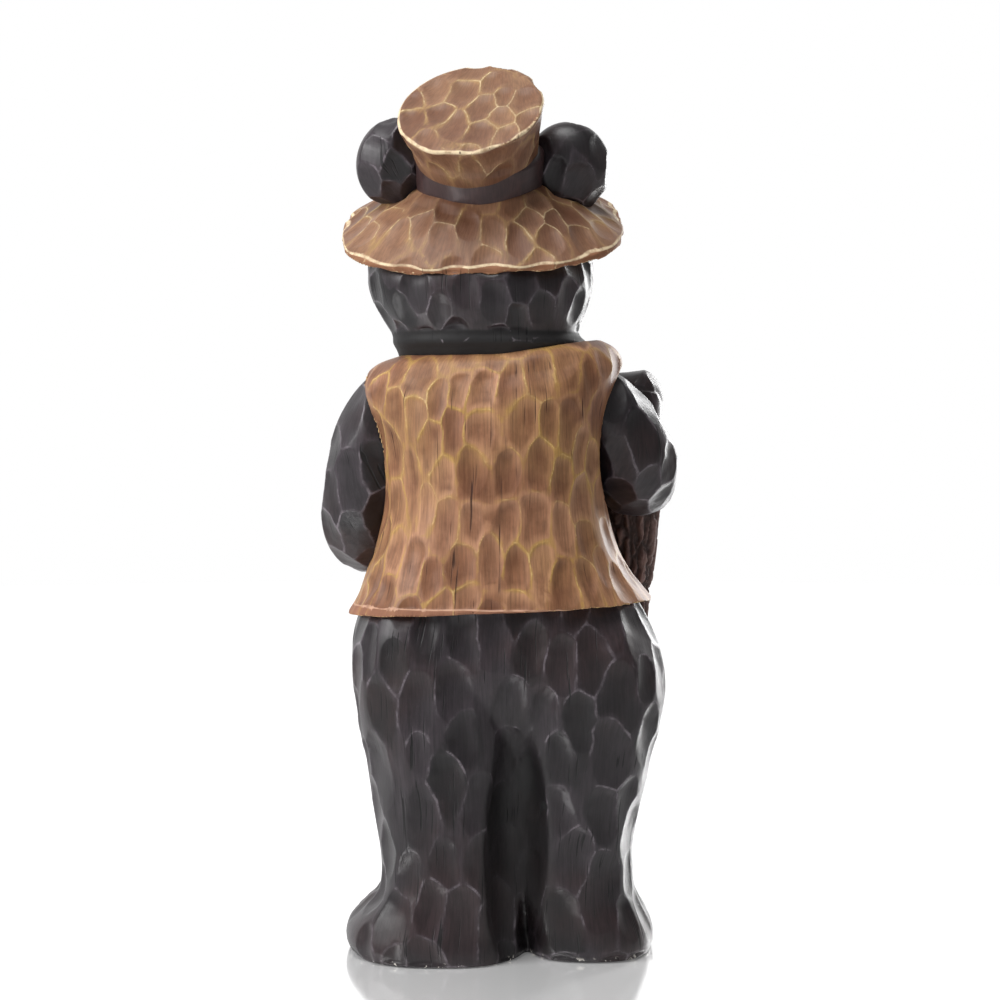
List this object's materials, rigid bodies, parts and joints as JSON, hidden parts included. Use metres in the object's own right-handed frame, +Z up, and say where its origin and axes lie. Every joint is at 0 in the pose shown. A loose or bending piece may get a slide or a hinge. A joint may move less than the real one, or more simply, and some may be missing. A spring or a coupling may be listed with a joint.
{
  "type": "carved wooden bear statue",
  "caption": "Standing bear carved from one log, in a tilted brimmed hat and open vest, one elbow resting on a bark-covered post.",
  "frame": {"origin": "on the ground, at the centre of the figure's bounding box", "axes": "+Z up; the bear faces -Y; its left arm is on +X and the bark-covered post on -X"},
  "size_m": [0.4842, 0.3806, 1.1806],
  "materials": {
    "carved_bear": "gouged log, stained near-black with worn grey ridges; the finer surface names slots of its own for the parts in other stains",
    "vest_stain": "scooped log, stained pinkish brown with a yellow-ochre glaze and pale worn ridges",
    "hat_stain": "scooped log, stained reddish brown with a yellow-ochre glaze and pale worn ridges",
    "band_stain": "smooth log wood in a dark purple-brown stain with a soft gloss",
    "bark": "the log's own rough, furrowed bark",
    "dark_gloss": "nose and eyes in a near-black gloss"
  },
  "bodies": {
    "root": {"carved_bear": "carved_bear"}
  },
  "joints": []
}
